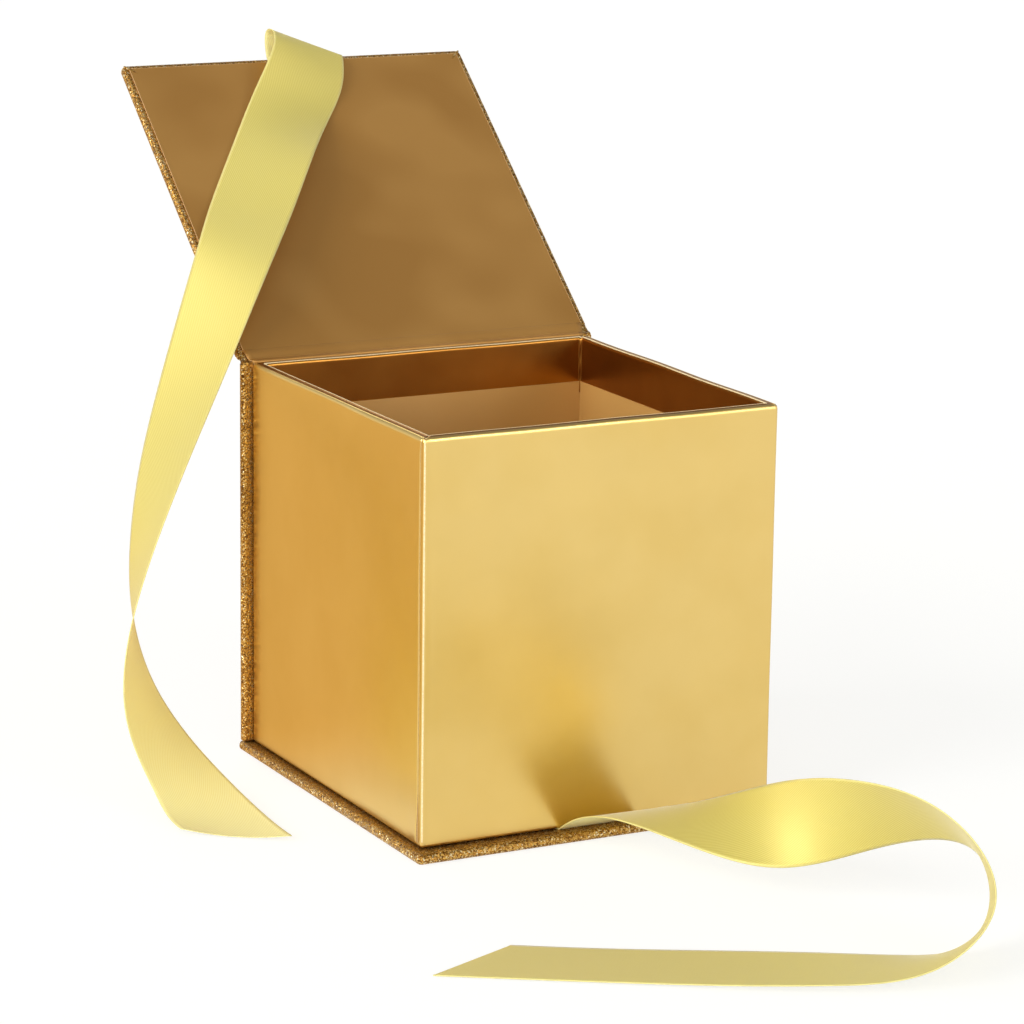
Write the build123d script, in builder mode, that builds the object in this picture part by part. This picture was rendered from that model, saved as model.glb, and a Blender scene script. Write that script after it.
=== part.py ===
# Rigid book-style favor box with two ribbon ties, lid standing open.
# Millimetres. X runs along the front, Y to the back, Z up.
# The origin is on the table, under the middle of the tray.

import os
from math import cos, radians, sin, tan

from build123d import *

os.makedirs("parts", exist_ok=True)

# Tray, measured over its foil paper
tray_width = 98.0
tray_depth = 101.0
tray_height = 102.0
tray_board = 2.0
tray_corner_radius = 0.8
rim_radius = 0.6
rim_turn_in = 15.0
bottom_turn_in = 15.0

# Sheet stock
foil_paper = 0.25
glitter_paper = 0.3
lining_paper = 0.25
stay_paper = 0.2
stay_leg = 9.0
stay_corner_radius = 0.4
wrap_inner_radius = 0.3
lining_overlap = 3.0
lining_clearance = 0.1

# Case of base, back and lid
case_board = 2.0
side_overhang = 2.6
base_front_overhang = 4.0
case_turn_in = 12.0
case_corner_radius = 1.6
case_edge_radius = 1.15
glue_line = 0.4
back_fold_gap = 0.6
back_top_drop = 0.5

# Lid and its paper hinge
lid_reach = 104.5
lid_open_angle = 140.0
hinge_inset = 0.65
hinge_rise = 0.85
hinge_gap = 2.5
lid_lining_margin = 1.8
hinge_tuck = 0.5
hinge_crease_rise = 0.3
back_lining_drop = 60.0
back_lining_corner_cut = 3.0

# Ribbon ties
ribbon_width = 22.2
ribbon_thickness = 0.3
ribbon_end_cut = 40.0
ribbon_steps = 3
ribbon_glued_length = 15.0
ribbon_lift = 35.0

# Levels and faces worked out from the sizes above
case_thickness = case_board + 2 * glitter_paper
case_width = tray_width + 2 * side_overhang
hinge_wrap_width = case_width - 2 * case_edge_radius
tray_bottom = case_thickness + glue_line
tray_rim = tray_bottom + tray_height
tray_front = -tray_depth / 2
tray_back = tray_depth / 2
board_inset = foil_paper + stay_paper
boards_width = tray_width - 2 * board_inset
boards_depth = tray_depth - 2 * board_inset
stays_width = boards_width + 2 * stay_paper
stays_depth = boards_depth + 2 * stay_paper
inside_width = boards_width - 2 * tray_board
inside_depth = boards_depth - 2 * tray_board
boards_bottom = tray_bottom + foil_paper
boards_top = tray_rim - foil_paper
walls_bottom = boards_bottom + tray_board
back_inner = tray_back + glue_line
back_outer = back_inner + case_thickness
back_top = tray_rim - back_top_drop
base_front = tray_front - base_front_overhang
hinge_y = back_outer - hinge_inset
hinge_z = tray_rim + hinge_rise
lid_slope = 180.0 - lid_open_angle

# Frame of the lid: X along the hinge, Y from the hinge to the free edge, Z out of its inner face
lid_frame = Plane(
    origin=(0, hinge_y, hinge_z),
    x_dir=(1, 0, 0),
    z_dir=(0, -sin(radians(lid_slope)), cos(radians(lid_slope))),
)


def finish(part, name):
    """Label a finished piece and write it to its own file."""
    part.label = name
    export_step(part, f"parts/{name}.step")


def tray_panel(name, plane, width, height):
    """Greyboard panel of the tray, its face on the plane and its thickness along the plane's Z."""
    with BuildPart() as panel:
        with BuildSketch(plane):
            Rectangle(width, height)
        extrude(amount=tray_board)
    finish(panel.part, name)


def wall_plane(x, y, facing):
    """Upright plane at the middle of a wall's outer face, its Z pointing along facing."""
    return Plane(
        origin=(x, y, (walls_bottom + boards_top) / 2),
        x_dir=Vector(0, 0, 1).cross(Vector(facing)),
        z_dir=facing,
    )


# Five greyboard panels: the walls stand on the base panel, front and back run past the sides
wall_height = boards_top - walls_bottom
tray_panel("tray_base_board", Plane.XY.offset(boards_bottom), boards_width, boards_depth)
tray_panel("tray_front_board", wall_plane(0, -boards_depth / 2, (0, 1, 0)), boards_width, wall_height)
tray_panel("tray_back_board", wall_plane(0, boards_depth / 2, (0, -1, 0)), boards_width, wall_height)
tray_panel("tray_left_board", wall_plane(-boards_width / 2, 0, (1, 0, 0)), inside_depth, wall_height)
tray_panel("tray_right_board", wall_plane(boards_width / 2, 0, (-1, 0, 0)), inside_depth, wall_height)

# Four strips of stay paper folded round the outside of the wall corners
with BuildPart() as corner_stays:
    with BuildSketch(Plane.XY.offset(walls_bottom)):
        RectangleRounded(stays_width, stays_depth, stay_corner_radius)
        Rectangle(boards_width, boards_depth, mode=Mode.SUBTRACT)
        Rectangle(boards_width - 2 * stay_leg, tray_depth, mode=Mode.SUBTRACT)
        Rectangle(tray_width, boards_depth - 2 * stay_leg, mode=Mode.SUBTRACT)
    extrude(amount=wall_height)
finish(corner_stays.part, "corner_stays")

# Foil paper round the tray, turned in over the rim and under the bottom
with BuildPart() as tray_wrap:
    with BuildSketch(Plane.XY.offset(tray_bottom)):
        RectangleRounded(tray_width, tray_depth, tray_corner_radius)
    extrude(amount=tray_height)
    with BuildSketch(Plane.XY.offset(tray_rim)):
        Rectangle(inside_width - 2 * foil_paper, inside_depth - 2 * foil_paper)
    extrude(amount=-rim_turn_in, mode=Mode.SUBTRACT)
    fillet(tray_wrap.edges().group_by(Axis.Z)[-1], rim_radius)
    with BuildSketch(Plane.XY.offset(boards_bottom)):
        RectangleRounded(stays_width, stays_depth, wrap_inner_radius)
    extrude(amount=tray_rim - rim_turn_in - boards_bottom, mode=Mode.SUBTRACT)
    with BuildSketch(Plane.XY.offset(tray_rim - rim_turn_in)):
        RectangleRounded(stays_width, stays_depth, wrap_inner_radius)
        Rectangle(inside_width, inside_depth, mode=Mode.SUBTRACT)
    extrude(amount=boards_top - tray_rim + rim_turn_in, mode=Mode.SUBTRACT)
    with BuildSketch(Plane.XY.offset(tray_bottom)):
        Rectangle(tray_width - 2 * bottom_turn_in, tray_depth - 2 * bottom_turn_in)
    extrude(amount=foil_paper, mode=Mode.SUBTRACT)
finish(tray_wrap.part, "tray_wrap")

# Lining sheet on the tray's floor
with BuildPart() as tray_floor_lining:
    with BuildSketch(Plane.XY.offset(walls_bottom)):
        Rectangle(inside_width - 2 * lining_clearance, inside_depth - 2 * lining_clearance)
    extrude(amount=lining_paper)
finish(tray_floor_lining.part, "tray_floor_lining")

# Lining folded round the inside of the walls, its top lapped over the turned-in foil
lining_outer_width = inside_width - 2 * foil_paper
lining_outer_depth = inside_depth - 2 * foil_paper
with BuildPart() as tray_wall_lining:
    with BuildSketch(Plane.XY.offset(walls_bottom + lining_paper)):
        Rectangle(lining_outer_width, lining_outer_depth)
        Rectangle(
            lining_outer_width - 2 * lining_paper,
            lining_outer_depth - 2 * lining_paper,
            mode=Mode.SUBTRACT,
        )
    extrude(amount=tray_rim - rim_turn_in + lining_overlap - walls_bottom - lining_paper)
finish(tray_wall_lining.part, "tray_wall_lining")


# Frames of the case's boards: Y up the board from its fold, Z out of its inner face
base_frame = Plane(origin=(0, back_outer, case_thickness), x_dir=(-1, 0, 0), z_dir=(0, 0, 1))
back_frame = Plane(origin=(0, back_inner, case_thickness), x_dir=(1, 0, 0), z_dir=(0, -1, 0))
base_length = back_outer - base_front
back_height = back_top - case_thickness


def case_block(frame, near, far, inset, closed_end):
    """Block between two distances from a fold, all its faces set in, with its free edges rounded.

    A closed end has its far edges and corners rounded too. The edges at the fold stay square.
    """
    with BuildPart() as block:
        with BuildSketch(frame.offset(-inset)):
            with Locations((0, (near + far) / 2)):
                sheet = Rectangle(case_width - 2 * inset, far - near)
            if closed_end:
                fillet(sheet.vertices().sort_by(Axis.Y)[-2:], case_corner_radius - inset)
        extrude(amount=2 * inset - case_thickness)
        upright = Axis(frame.origin, frame.z_dir)
        along = Axis(frame.origin, frame.y_dir)
        folds = block.edges() - block.edges().filter_by(upright)
        folds = folds - folds.group_by(along)[0]
        if not closed_end:
            folds = folds - folds.group_by(along)[-1]
        fillet(folds, case_edge_radius - inset)
    return block.part


def case_panel(name, frame, near, far, closed_end):
    """Greyboard of the case between two distances from its fold."""
    finish(case_block(frame, near, far, glitter_paper, closed_end), name)


def case_wrap(name, frame, near, far, near_cover, far_cover, near_flap):
    """Glitter paper round one board of the case, turned in on its inner face.

    near and far are the distances of the ends from the fold. A cover is the paper's thickness over an
    end, nought where the paper runs on over a fold. The flap is the outer paper's run before near.
    """
    board_near = near + near_cover
    board_far = far - far_cover
    window_far = far - case_turn_in if far_cover else far
    closed_end = far_cover > 0
    with BuildPart() as wrap:
        add(case_block(frame, near, far, 0, closed_end))
        add(case_block(frame, board_near, board_far, glitter_paper, closed_end), mode=Mode.SUBTRACT)
        with BuildSketch(frame):
            with Locations((0, (board_near + window_far) / 2)):
                Rectangle(case_width - 2 * case_turn_in, window_far - board_near)
        extrude(amount=-glitter_paper, mode=Mode.SUBTRACT)
        if near_flap:
            with BuildSketch(frame.offset(-case_thickness)):
                with Locations((0, near - near_flap / 2)):
                    Rectangle(hinge_wrap_width, near_flap)
            extrude(amount=glitter_paper)
    finish(wrap.part, name)


# Base under the tray: the paper goes round its back edge and up the back
case_panel("base_board", base_frame, glitter_paper, base_length - glitter_paper, True)
case_wrap("base_wrap", base_frame, 0, base_length, glitter_paper, glitter_paper, 0)

# Back, standing on the fold at the base's back edge
case_panel("back_board", back_frame, back_fold_gap, back_height, False)
case_wrap("back_wrap", back_frame, back_fold_gap, back_height, 0, 0, back_fold_gap)

# Lid, its fold end short of the hinge axis
case_panel("lid_board", lid_frame, hinge_gap, lid_reach - glitter_paper, True)
case_wrap("lid_wrap", lid_frame, hinge_gap, lid_reach, 0, glitter_paper, 0)

# Lining on the lid's inner face, with a margin of glitter paper showing round it
lid_lining_width = case_width - 2 * lid_lining_margin
lid_lining_far = lid_reach - lid_lining_margin
with BuildPart() as lid_lining:
    with BuildSketch(lid_frame):
        with Locations((0, (hinge_gap + lid_lining_far) / 2)):
            Rectangle(lid_lining_width, lid_lining_far - hinge_gap)
    extrude(amount=lining_paper)
finish(lid_lining.part, "lid_lining")

# Tail of the lining between back and tray, its corners cut away below the fold
with BuildPart() as back_lining:
    with BuildSketch(back_frame):
        with BuildLine():
            Polyline(
                (-lid_lining_width / 2, back_height),
                (-lid_lining_width / 2 + back_lining_corner_cut, back_height - back_lining_corner_cut),
                (-lid_lining_width / 2 + back_lining_corner_cut, back_height - back_lining_drop),
                (lid_lining_width / 2 - back_lining_corner_cut, back_height - back_lining_drop),
                (lid_lining_width / 2 - back_lining_corner_cut, back_height - back_lining_corner_cut),
                (lid_lining_width / 2, back_height),
                close=True,
            )
        make_face()
    extrude(amount=lining_paper)
finish(back_lining.part, "back_lining")


def lid_point(x, reach, rise):
    """Point given in the frame of the lid: along the hinge, from the hinge, and off the inner face."""
    return lid_frame.from_local_coords(Vector(x, reach, rise))


def side_view(point):
    """Y and Z of a point, for profiles drawn across the hinge."""
    return (point.Y, point.Z)


# Lining across the fold: up behind the rim, over to the hinge crease, then along the lid
lining_middle = back_inner - lining_paper / 2
with BuildPart() as hinge_lining:
    with BuildSketch(Plane.YZ.offset(-lid_lining_width / 2)):
        with BuildLine():
            Polyline(
                (lining_middle, back_top),
                (lining_middle, tray_rim + hinge_crease_rise),
                side_view(lid_point(0, 0, lining_paper / 2)),
                side_view(lid_point(0, hinge_gap, lining_paper / 2)),
            )
        trace(line_width=lining_paper)
    extrude(amount=lid_lining_width)
finish(hinge_lining.part, "hinge_lining")

# Glitter paper across the fold, creased in towards the hinge while the lid stands open
wrap_middle = back_outer - glitter_paper / 2
lid_wrap_middle = glitter_paper / 2 - case_thickness
with BuildPart() as hinge_wrap:
    with BuildSketch(Plane.YZ.offset(-hinge_wrap_width / 2)):
        with BuildLine():
            Polyline(
                (wrap_middle, back_top),
                (wrap_middle, back_top + hinge_tuck),
                side_view(lid_point(0, hinge_tuck, -hinge_tuck)),
                side_view(lid_point(0, hinge_gap - hinge_tuck, lid_wrap_middle)),
                side_view(lid_point(0, hinge_gap, lid_wrap_middle)),
            )
        trace(line_width=glitter_paper)
    extrude(amount=hinge_wrap_width)
finish(hinge_wrap.part, "hinge_wrap")


def width_direction(turn, tilt):
    """Unit vector across a ribbon, turned from X about Z and then tilted up, in degrees."""
    flat = cos(radians(tilt))
    return Vector(flat * cos(radians(turn)), flat * sin(radians(turn)), sin(radians(tilt)))


def lid_width_direction(turn, tilt):
    """The same in the frame of the lid."""
    local = width_direction(turn, tilt)
    return lid_frame.x_dir * local.X + lid_frame.y_dir * local.Y + lid_frame.z_dir * local.Z


def ribbon(name, stations, start, cut_sign, tab_length):
    """Satin ribbon: thin cross-sections between splines along its two edges, joined by straight rulings.

    Each station is the middle of the ribbon and the direction across it. start is the way it sets
    out, and the tab is its flat glued length behind the first station. It ends flat on the table, cut
    slantwise, and the sign says which edge is the longer.
    """
    middles = [middle for middle, across in stations]
    runs = [(after - before).length for before, after in zip(middles, middles[1:])]
    travelled = [sum(runs[:index]) for index in range(len(stations))]
    halves = [across * (ribbon_width / 2) for middle, across in stations]
    last_run = middles[-1] - middles[-2]
    end_way = Vector(last_run.X, last_run.Y, 0).normalized()
    halves[-1] = halves[-1] + end_way * (cut_sign * tan(radians(ribbon_end_cut)) * ribbon_width / 2)
    edges = []
    for side in (-1, 1):
        points = [middle + half * side for middle, half in zip(middles, halves)]
        edges.append(Edge.make_spline(points, [start, end_way], parameters=travelled, scale=False))
    pairs = []
    for before, after in zip(travelled, travelled[1:]):
        for step in range(ribbon_steps):
            share = (before + (after - before) * step / ribbon_steps) / travelled[-1]
            pairs.append([edge.position_at(share, PositionMode.PARAMETER) for edge in edges])
    pairs.append([edge.position_at(1) for edge in edges])
    lines = [(left + right) * 0.5 for left, right in pairs]
    with BuildPart() as strip:
        for index in reversed(range(len(pairs))):
            left, right = pairs[index]
            travel = lines[min(index + 1, len(lines) - 1)] - lines[max(index - 1, 0)]
            across = (right - left).normalized()
            travel = travel - across * travel.dot(across)
            with BuildSketch(Plane(origin=lines[index], x_dir=across, z_dir=travel)):
                Rectangle((right - left).length, ribbon_thickness)
        loft(ruled=True)
        if tab_length:
            with BuildSketch(Plane(origin=middles[0], x_dir=stations[0][1], z_dir=(0, 1, 0))):
                Rectangle(ribbon_width, ribbon_thickness)
            extrude(amount=tab_length)
    finish(strip.part, name)


def lid_station(x, reach, rise, turn, tilt):
    """Station of a ribbon given in the frame of the lid."""
    return lid_point(x, reach, rise), lid_width_direction(turn, tilt)


def beside_station(out, y, z, turn, tilt):
    """Station of a ribbon given by its distance out from the left edge of the case."""
    return Vector(-case_width / 2 - out, y, z), width_direction(turn, tilt)


def front_station(x, out, z, turn, tilt):
    """Station of a ribbon given by its distance out from the tray's front."""
    return Vector(x, tray_front - out, z), width_direction(turn, tilt)


# Ribbon of the lid: up out of the lining's edge, over in a skewed loop, down across the lid, off its
# left edge with half a turn, and out on the table
ribbon(
    "lid_ribbon",
    [
        lid_station(2.6, lid_lining_far + lining_clearance, ribbon_thickness + lining_clearance, 0, 0),
        lid_station(2.8, lid_reach + 1.7, 0.8, -8, -1),
        lid_station(3.0, lid_reach + 1.4, 2.6, -19, -7),
        lid_station(2.6, lid_reach - 0.7, 4.4, -25, -14),
        lid_station(-6.0, lid_reach - 17.0, 2.2, -29, -8),
        lid_station(-19.0, 69.0, 4.2, -36, 16),
        lid_station(-34.5, 45.5, 4.9, -32, 19),
        lid_station(-44.0, 31.0, 5.6, -50, 23),
        beside_station(13.0, 57.0, 97.0, -62, 15),
        beside_station(31.5, 38.5, 68.5, -87, 20),
        beside_station(37.5, 29.0, 24.5, -136, 7),
        beside_station(31.5, 11.5, 6.0, -177, 6),
        beside_station(31.0, -15.5, 0.4, -175, 0),
    ],
    lid_frame.y_dir,
    -1,
    0,
)

# Ribbon of the base: out from under the tray, up on edge in an open loop, then flat on the table
ribbon(
    "base_ribbon",
    [
        front_station(0, 0, case_thickness + glue_line / 2, 0, 0),
        front_station(2.0, 24.5, 12.5, 13, 0),
        front_station(17.0, 51.0, 15.0, 48, 45),
        front_station(28.5, 78.5, 24.0, 23, 121),
        front_station(39.5, 100.5, 24.5, 29, 141),
        front_station(32.5, 121.0, 9.0, 72, 142),
        front_station(17.0, 120.5, 3.0, 77, 168),
        front_station(-2.5, 113.0, 1.8, 62, 179),
        front_station(-40.5, 89.0, 0.6, 54, 180),
        front_station(-70.5, 70.0, 0.4, 66, 180),
    ],
    Vector(0, -cos(radians(ribbon_lift)), sin(radians(ribbon_lift))),
    1,
    ribbon_glued_length,
)
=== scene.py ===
"""Dressed model of a book-style favour box that stands open, with its two satin ribbon ties.

Every length is in millimetres until a surface is put into a mesh, which is in metres.
"""

import logging
import math
from dataclasses import dataclass
from enum import Enum
from typing import ClassVar

import bpy
import numpy as np
from numpy.typing import NDArray
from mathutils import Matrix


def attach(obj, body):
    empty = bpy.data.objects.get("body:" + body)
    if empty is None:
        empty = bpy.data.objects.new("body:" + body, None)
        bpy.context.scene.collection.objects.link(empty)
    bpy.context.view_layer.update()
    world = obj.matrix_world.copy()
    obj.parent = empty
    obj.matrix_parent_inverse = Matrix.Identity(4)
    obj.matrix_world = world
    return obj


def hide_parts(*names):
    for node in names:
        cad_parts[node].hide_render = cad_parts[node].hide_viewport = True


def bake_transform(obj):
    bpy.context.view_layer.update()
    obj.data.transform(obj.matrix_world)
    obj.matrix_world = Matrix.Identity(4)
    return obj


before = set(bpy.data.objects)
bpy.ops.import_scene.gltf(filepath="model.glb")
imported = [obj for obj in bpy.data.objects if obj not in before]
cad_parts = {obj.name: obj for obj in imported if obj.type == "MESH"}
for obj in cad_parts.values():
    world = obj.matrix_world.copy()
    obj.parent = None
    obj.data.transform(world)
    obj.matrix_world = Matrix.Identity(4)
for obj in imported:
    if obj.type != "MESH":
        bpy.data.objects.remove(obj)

Array = NDArray[np.float64]
Ints = NDArray[np.int64]
Flags = NDArray[np.bool_]
Sockets = dict[str | int, object]

log = logging.getLogger("favor_box")

MM = 0.001


class Body(str, Enum):
    """The two bodies of the box, one each side of the hinge."""

    BOX = "box"
    LID = "lid"


class Slot(str, Enum):
    """The record's material slots."""

    FOIL = "gold_foil_paper"
    MATT = "matt_gold_paper"
    GLITTER = "gold_glitter_paper"
    RIBBON = "satin_ribbon"


class Place(Enum):
    """What the points of a ribbon's route are measured from."""

    LID = "over the lid's inner face"
    BESIDE = "left of the lid's left edge"
    FRONT = "in front of the tray"


@dataclass(frozen=True)
class BoxSizes:
    """Sizes of the box that its pieces share, in millimetres."""

    half_width: float = 49.0
    tray_front: float = -50.5
    tray_bottom: float = 3.0
    tray_rim: float = 105.0
    case_half_width: float = 51.6
    hinge_y: float = 52.85
    hinge_z: float = 105.85
    lid_lean: float = 40.0

    @property
    def hinge(self) -> Array:
        """The middle of the hinge line."""
        return np.array([0.0, self.hinge_y, self.hinge_z])

    @property
    def lid_axes(self) -> Array:
        """The open lid's axes as rows: along the hinge, up the lid, out of its inner face."""
        lean = math.radians(self.lid_lean)
        return np.array([
            [1.0, 0.0, 0.0],
            [0.0, math.cos(lean), math.sin(lean)],
            [0.0, -math.sin(lean), math.cos(lean)],
        ])


SIZES = BoxSizes()


def linear(code: str) -> tuple[float, float, float, float]:
    """Turn an sRGB hex colour into linear light.

    Args:
        code: the colour as "#RRGGBB".

    Returns:
        Linear red, green, blue and an alpha of 1.
    """
    parts = [int(code[i:i + 2], 16) / 255 for i in (1, 3, 5)]
    light = [p / 12.92 if p <= 0.04045 else ((p + 0.055) / 1.055) ** 2.4 for p in parts]
    return light[0], light[1], light[2], 1.0


def per_metre(size: float) -> float:
    """Return the texture scale whose pattern repeats about once in this many millimetres."""
    return 1.0 / (size * MM)


def add_node(
    tree: bpy.types.NodeTree,
    kind: str,
    sockets: Sockets | None = None,
    stops: tuple[tuple[float, str], ...] = (),
    **settings: object,
) -> bpy.types.Node:
    """Add one node, with its settings and what goes into its sockets.

    Args:
        tree: the node tree that it joins.
        kind: the node's type, without the ShaderNode in front.
        sockets: a constant or another node's output for each input, by name or number.
        stops: places and hex colours along a colour ramp.
        settings: the node's own properties.

    Returns:
        The new node.
    """
    node = tree.nodes.new("ShaderNode" + kind)
    for key, value in settings.items():
        setattr(node, key, value)
    for key, value in (sockets or {}).items():
        if isinstance(value, bpy.types.NodeSocket):
            tree.links.new(value, node.inputs[key])
        else:
            node.inputs[key].default_value = value
    for number, (place, code) in enumerate(stops):
        elements = node.color_ramp.elements
        element = elements[number] if number < 2 else elements.new(place)
        element.position = place
        element.color = linear(code)
    return node


def spline(knots: Array, values: Array, first: Array, last: Array, at: Array) -> Array:
    """Work out a clamped cubic spline.

    The slopes at the knots solve the usual three-term equations of a curve with an even
    second derivative, and each piece is then the cubic of its two ends and two slopes.

    Args:
        knots: rising parameter of each point.
        values: points, one row each.
        first: slope at the first knot.
        last: slope at the last knot.
        at: parameters at which the curve is wanted.

    Returns:
        Points of the curve, one row for each parameter.
    """
    run = np.diff(knots)
    rise = np.diff(values, axis=0) / run[:, None]
    count = len(knots)
    matrix = np.eye(count)
    inner = np.arange(1, count - 1)
    matrix[inner, inner - 1] = run[1:]
    matrix[inner, inner] = 2 * (run[:-1] + run[1:])
    matrix[inner, inner + 1] = run[:-1]
    right = np.vstack([
        first, 3 * (run[1:, None] * rise[:-1] + run[:-1, None] * rise[1:]), last,
    ])
    slopes = np.linalg.solve(matrix, right)
    piece = np.clip(np.searchsorted(knots, at, side="right") - 1, 0, count - 2)
    step = run[piece][:, None]
    part = (at[:, None] - knots[piece][:, None]) / step
    return (
        (1 + 2 * part) * (1 - part) ** 2 * values[piece]
        + part * (1 - part) ** 2 * step * slopes[piece]
        + part ** 2 * (3 - 2 * part) * values[piece + 1]
        - part ** 2 * (1 - part) * step * slopes[piece + 1]
    )


def smooth(value: Array | float) -> Array:
    """Ease from 0 to 1: the cubic 3t^2 - 2t^3 of the value held between 0 and 1."""
    held = np.clip(value, 0.0, 1.0)
    return held * held * (3 - 2 * held)


def ring_faces(rows: int, around: int) -> Ints:
    """Return the quads of a tube of rings with both ends capped.

    Each ring runs along one side of a sheet and back along the other, so that a cap joins
    the facing points of the two sides.

    Args:
        rows: number of rings.
        around: number of points in a ring, an even number.

    Returns:
        Vertex numbers, four to a face.
    """
    row, point = np.meshgrid(np.arange(rows - 1), np.arange(around), indexing="ij")
    after = (point + 1) % around
    walls = np.stack([
        row * around + point, row * around + after,
        (row + 1) * around + after, (row + 1) * around + point,
    ], axis=-1).reshape(-1, 4)
    near = np.arange(around // 2 - 1)
    cap = np.stack([near, around - 1 - near, around - 2 - near, near + 1], axis=-1)
    return np.vstack([walls, cap, cap[:, ::-1] + (rows - 1) * around])


def loop_faces(rows: int, around: int) -> Ints:
    """Return the quads of a tube of closed rings that itself closes on its first ring.

    Each quad joins a point and the next one in its ring to the same two of the next ring.

    Args:
        rows: number of rings.
        around: number of points in a ring.

    Returns:
        Vertex numbers, four to a face.
    """
    row, point = np.meshgrid(np.arange(rows), np.arange(around), indexing="ij")
    below, after = (row + 1) % rows, (point + 1) % around
    return np.stack([
        row * around + point, below * around + point, below * around + after, row * around + after,
    ], axis=-1).reshape(-1, 4)


def shell(points: Array, half: Array | float) -> tuple[Array, Ints]:
    """Thicken a surface into a closed sheet.

    Every point moves half the thickness both ways along the surface's own normal. Each row
    then becomes a ring that runs over the first side and back under the second.

    Args:
        points: the middle surface as rows by columns by three.
        half: half of the thickness, one value or one for each point.

    Returns:
        The rings as rows by points by three, and the sheet's faces, outward.
    """
    normal = np.cross(np.gradient(points, axis=1), np.gradient(points, axis=0))
    normal /= np.linalg.norm(normal, axis=-1, keepdims=True)
    move = normal * np.broadcast_to(half, points.shape[:2])[..., None]
    rings = np.concatenate([points + move, (points - move)[:, ::-1]], axis=1)
    return rings, ring_faces(*rings.shape[:2])


def put_mesh(
    name: str,
    points: Array,
    faces: Ints,
    materials: list[bpy.types.Material],
    uv: Array | None = None,
    face_material: Ints | Flags | None = None,
) -> bpy.types.Object:
    """Put a surface into a new object at the origin.

    Args:
        name: the piece's name.
        points: corners in millimetres, one row each.
        faces: four vertex numbers to a face.
        materials: the piece's material slots in order.
        uv: place of each corner on the flat sheet, in millimetres.
        face_material: slot number of each face.

    Returns:
        The new object.
    """
    mesh = bpy.data.meshes.new(name)
    mesh.from_pydata((points * MM).tolist(), [], faces.tolist())
    for material in materials:
        mesh.materials.append(material)
    mesh.polygons.foreach_set("use_smooth", np.ones(len(faces), dtype=bool))
    if face_material is not None:
        mesh.polygons.foreach_set("material_index", face_material.astype(np.int32))
    if uv is not None:
        layer = mesh.uv_layers.new(name="flat")
        layer.uv.foreach_set("vector", uv[faces.ravel()].astype(np.float32).ravel())
    mesh.validate()
    mesh.update()
    piece = bpy.data.objects.new(name, mesh)
    bpy.context.scene.collection.objects.link(piece)
    return piece


@dataclass(frozen=True)
class Finish:
    """A surface finish, made into a material once and shared by its pieces."""

    made: ClassVar[dict[str, bpy.types.Material]] = {}

    name: str

    def shade(self, tree: bpy.types.NodeTree) -> bpy.types.NodeSocket:
        """Build the finish's nodes.

        Args:
            tree: the material's empty node tree.

        Returns:
            The shader output that the surface takes.
        """
        raise NotImplementedError

    def material(self) -> bpy.types.Material:
        """Build the finish's material at its first use.

        Returns:
            The material, which every piece of this finish shares.
        """
        if self.name not in self.made:
            material = bpy.data.materials.new(self.name)
            material.use_nodes = True
            material.node_tree.nodes.clear()
            surface = self.shade(material.node_tree)
            add_node(material.node_tree, "OutputMaterial", {"Surface": surface})
            self.made[self.name] = material
        return self.made[self.name]


@dataclass(frozen=True)
class FoilPaper(Finish):
    """Paper laminated with gold foil and calendered.

    It gives the eye a satin metal with blurred reflections, and slow waves where the paper
    was glued to the board.
    """

    name: str = "satin_gold_foil_paper"
    light: str = "#E9C97C"
    dark: str = "#E6C576"
    grain: float = 9.0
    patch: float = 22.0
    wave: float = 30.0
    wave_depth: float = 0.2
    least_rough: float = 0.28
    most_rough: float = 0.31

    def shade(self, tree: bpy.types.NodeTree) -> bpy.types.NodeSocket:
        """Mix two near golds by slow patches, vary the gloss a little and wave the surface.

        Args:
            tree: the material's empty node tree.

        Returns:
            The shader output that the surface takes.
        """
        place = add_node(tree, "TexCoord").outputs["Object"]
        patches = add_node(tree, "TexNoise", {
            "Vector": place, "Scale": per_metre(self.patch), "Detail": 3.0,
        }).outputs["Fac"]
        gold = add_node(tree, "ValToRGB", {"Fac": patches}, (
            (0.36, self.dark), (0.62, self.light),
        )).outputs["Color"]
        grain = add_node(tree, "TexNoise", {
            "Vector": place, "Scale": per_metre(self.grain), "Detail": 1.0,
        }).outputs["Fac"]
        gloss = add_node(tree, "MapRange", {
            "Value": grain, "From Min": 0.3, "From Max": 0.7,
            "To Min": self.least_rough, "To Max": self.most_rough,
        }).outputs["Result"]
        waves = add_node(tree, "TexNoise", {
            "Vector": place, "Scale": per_metre(self.wave), "Detail": 1.0,
        }).outputs["Fac"]
        slow = add_node(tree, "Bump", {
            "Height": waves, "Strength": 0.2, "Distance": self.wave_depth * MM,
        }).outputs["Normal"]
        return add_node(tree, "BsdfPrincipled", {
            "Base Color": gold, "Metallic": 1.0, "Roughness": gloss, "Normal": slow,
        }).outputs["BSDF"]


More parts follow.
